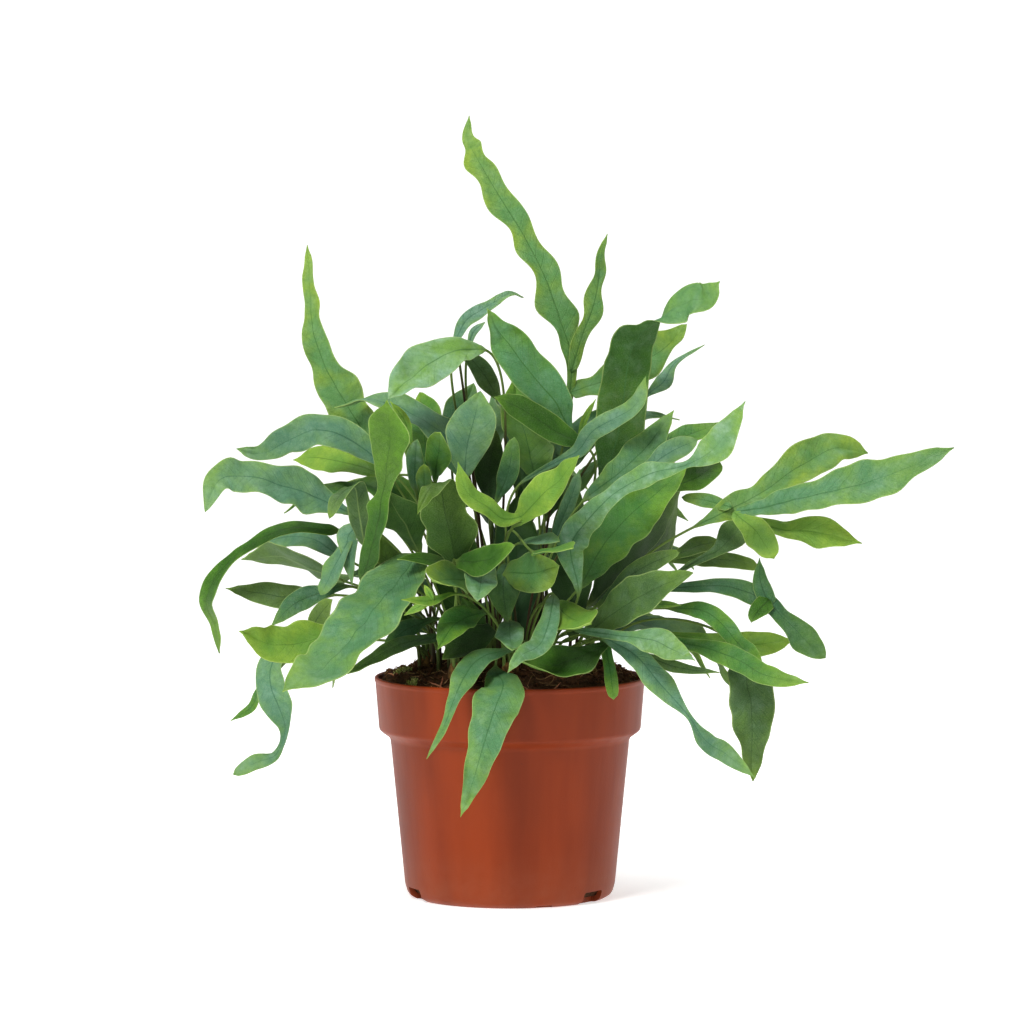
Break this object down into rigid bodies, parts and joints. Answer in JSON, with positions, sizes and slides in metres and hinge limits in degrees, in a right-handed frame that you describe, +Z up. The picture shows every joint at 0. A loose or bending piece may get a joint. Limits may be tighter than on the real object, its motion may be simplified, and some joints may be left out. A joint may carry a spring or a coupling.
{
  "type": "potted fern",
  "caption": "Potted fern with a dense tuft of waxy blue-green, wavy-edged strap fronds, some of them lobed, in a plain round brown plastic nursery pot full of soil.",
  "frame": {"origin": "centre of the pot's flat underside", "axes": "+Z up through the axis of the pot; -Y towards the side that shows the fern best"},
  "size_m": [0.3313, 0.2174, 0.3461],
  "materials": {
    "pot_plastic": "satin brown terracotta-coloured plastic",
    "soil": null,
    "frond_blue_green": null,
    "frond_green": null,
    "frond_dark_green": null,
    "frond_young_green": null,
    "frond_grey_green": null
  },
  "bodies": {
    "root": {"frond_back_fan_1": "frond_blue_green", "frond_back_fan_2": "frond_green", "frond_back_fan_3": "frond_grey_green", "frond_back_fan_4": "frond_blue_green", "frond_back_fan_5": "frond_green", "frond_back_fan_6": "frond_grey_green", "frond_back_green": "frond_green", "frond_core": "frond_dark_green", "frond_front_dark_curl": "frond_grey_green", "frond_front_left_grey": "frond_grey_green", "frond_front_left_star": "frond_young_green", "frond_front_low": "frond_dark_green", "frond_front_over_rim": "frond_green", "frond_front_pair": "frond_dark_green", "frond_front_pale": "frond_blue_green", "frond_front_right_dark": "frond_dark_green", "frond_front_small": "frond_blue_green", "frond_front_tongue": "frond_green", "frond_front_trio": "frond_green", "frond_left_big": "frond_blue_green", "frond_left_curled": "frond_grey_green", "frond_left_hanging": "frond_blue_green", "frond_left_hook": "frond_dark_green", "frond_left_lobed": "frond_green", "frond_left_long_blue": "frond_blue_green", "frond_left_middle": "frond_blue_green", "frond_left_tall": "frond_green", "frond_left_under": "frond_grey_green", "frond_left_upper": "frond_blue_green", "frond_left_young": "frond_young_green", "frond_middle_blue": "frond_blue_green", "frond_middle_dark": "frond_dark_green", "frond_middle_deep": "frond_dark_green", "frond_middle_green": "frond_dark_green", "frond_middle_low": "frond_dark_green", "frond_middle_oval": "frond_blue_green", "frond_middle_round": "frond_green", "frond_right_bent_lobed": "frond_dark_green", "frond_right_deep": "frond_dark_green", "frond_right_far": "frond_green", "frond_right_green": "frond_green", "frond_right_grey": "frond_grey_green", "frond_right_hanging": "frond_grey_green", "frond_right_lobed": "frond_green", "frond_right_long_blue": "frond_blue_green", "frond_right_low_green": "frond_green", "frond_right_low_waist": "frond_blue_green", "frond_right_narrow": "frond_grey_green", "frond_right_pale_low": "frond_blue_green", "frond_right_upper": "frond_blue_green", "frond_right_waved": "frond_green", "frond_right_young": "frond_young_green", "frond_tallest": "frond_green", "frond_top_arch": "frond_green", "frond_top_dark_fold": "frond_dark_green", "frond_top_far": "frond_blue_green", "frond_top_pale": "frond_blue_green", "frond_young_fork": "frond_young_green", "pot": "pot_plastic", "soil": "soil"}
  },
  "joints": []
}
